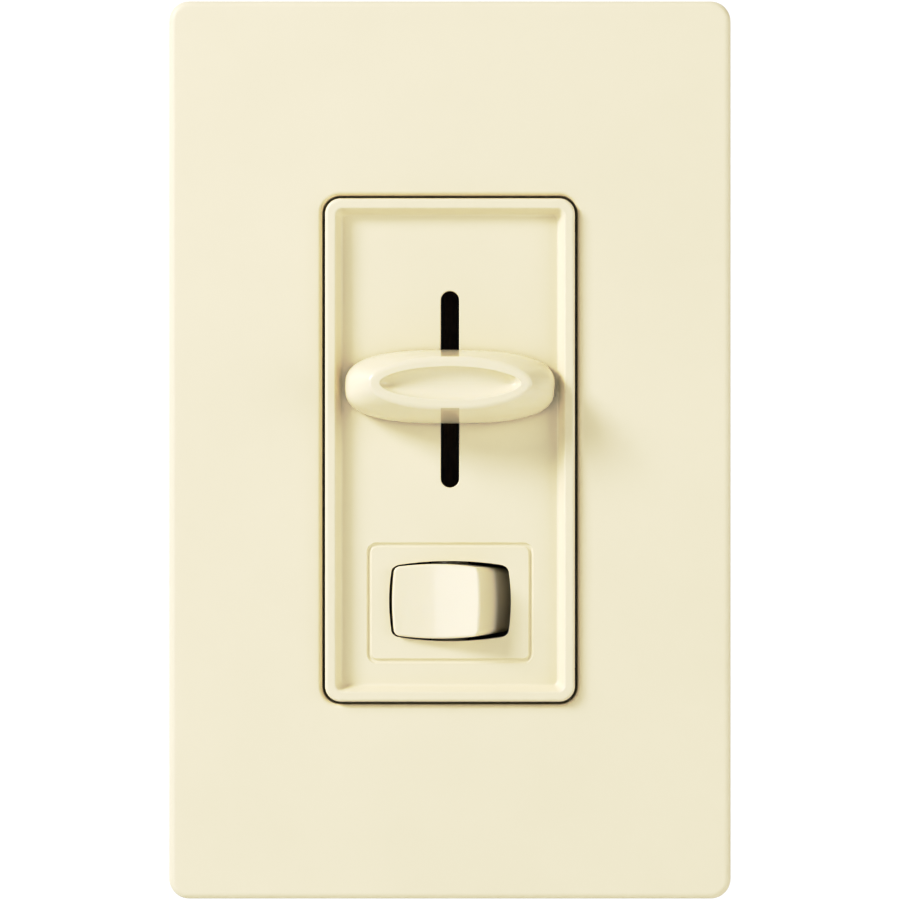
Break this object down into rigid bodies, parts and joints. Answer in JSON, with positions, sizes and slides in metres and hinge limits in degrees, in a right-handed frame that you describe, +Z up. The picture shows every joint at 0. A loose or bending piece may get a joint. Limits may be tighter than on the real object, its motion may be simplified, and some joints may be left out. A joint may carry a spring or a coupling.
{
  "type": "slide dimmer switch",
  "caption": "Rectangular wall dimmer with a vertical slide knob above a small rocker switch, on a strap and rear housing, under a screwless clip-on plate.",
  "frame": {"origin": "on the wall surface, midway between the two box screws that hold the strap", "axes": "+Z up along the plate, +X to the right seen from the room, +Y into the wall along the box screws; the room is towards -Y"},
  "size_m": [0.0746, 0.0444, 0.1192],
  "materials": {
    "plate_ivory": "satin moulded ivory plastic with a very fine texture",
    "bezel_ivory": "satin moulded ivory plastic",
    "control_ivory": "polished ivory plastic",
    "carrier_plastic": "plain moulded plastic, as ejected",
    "zinc_steel": "bright zinc-plated steel",
    "strap_aluminium": "stamped aluminium sheet with a faint roll grain",
    "fibre": "pressed vulcanised fibre",
    "brass": "stamped brass",
    "ground_green": "green-dyed plated steel",
    "black_film": "matt black insulating film",
    "white_nylon": "natural nylon",
    "black_nylon": "black moulded nylon",
    "spring_bronze": "phosphor bronze strip",
    "pot_black": "black moulded plastic",
    "phenolic": "brown phenolic board",
    "carbon": "printed carbon film",
    "spring_steel": "drawn spring wire",
    "contact_silver": "silver alloy",
    "housing_black": "black moulded thermoset with a fine spark texture",
    "black_oxide": "black-oxidised steel",
    "board_green": "green solder mask on glass board",
    "tinned": "tinned metal",
    "epoxy_black": "moulded epoxy",
    "pad_grey": "soft silicone pad",
    "ferrite": "coated powdered-iron core",
    "copper": "enamelled copper wire",
    "capacitor_yellow": "box film capacitor",
    "capacitor_red": "dipped film capacitor",
    "resistor_tan": "carbon film resistor",
    "diode_blue": "glass-bodied trigger diode",
    "trimmer_blue": "moulded trimmer"
  },
  "bodies": {
    "housing": {"wallplate": "plate_ivory", "wallplate_adapter": "carrier_plastic", "adapter_screws": "zinc_steel", "yoke": "strap_aluminium", "mounting_screws": "zinc_steel", "screw_retainers": "fibre", "ground_tab": "brass", "ground_rivet": "strap_aluminium", "ground_screw": "ground_green", "front_bezel": "bezel_ivory", "dust_barrier": "black_film", "pot_case": "pot_black", "pot_base": "phenolic", "resistive_tracks": "carbon", "fixed_contacts": "contact_silver", "traveller_strips": "brass", "common_plate": "brass", "contact_cradle": "brass", "switch_base": "black_nylon", "switch_cover": "black_nylon", "rear_housing": "housing_black", "housing_screws": "zinc_steel", "common_screw": "black_oxide", "traveller_screws": "brass", "clamp_plates": "zinc_steel", "circuit_board": "board_green", "pot_pins": "tinned", "triac_body": "epoxy_black", "triac_tab": "tinned", "triac_leads": "tinned", "insulating_pad": "pad_grey", "triac_rivet": "strap_aluminium", "choke_core": "ferrite", "choke_winding": "copper", "filter_capacitor": "capacitor_yellow", "timing_capacitor": "capacitor_red", "resistors": "resistor_tan", "trigger_diode": "diode_blue", "trim_potentiometer": "trimmer_blue"},
    "slider": {"slider_knob": "control_ivory", "slider_stem": "white_nylon", "wiper_carriage": "black_nylon", "wiper_contacts": "spring_bronze"},
    "rocker": {"rocker": "control_ivory", "rocker_plunger": "white_nylon", "rocker_spring": "spring_steel"},
    "contact_arm": {"contact_arm": "brass", "moving_contacts": "contact_silver"}
  },
  "joints": [
    {"name": "dim_slide", "type": "slide", "parent": "housing", "child": "slider", "axis": [0, 0, 1], "range_m": [-0.0103, 0.0097]},
    {"name": "on_off_rock", "type": "hinge", "parent": "housing", "child": "rocker", "pos_m": [0, -0.0002, -0.02006], "axis": [0, 0, 1], "range_deg": [0, 24]},
    {"name": "contact_rock", "type": "hinge", "parent": "housing", "child": "contact_arm", "pos_m": [0, 0.01025, -0.02006], "axis": [0, 0, 1], "range_deg": [-12, 0]}
  ],
  "couplings": [
    {"joint": "contact_rock", "follows": "on_off_rock", "ratio": -0.5}
  ]
}
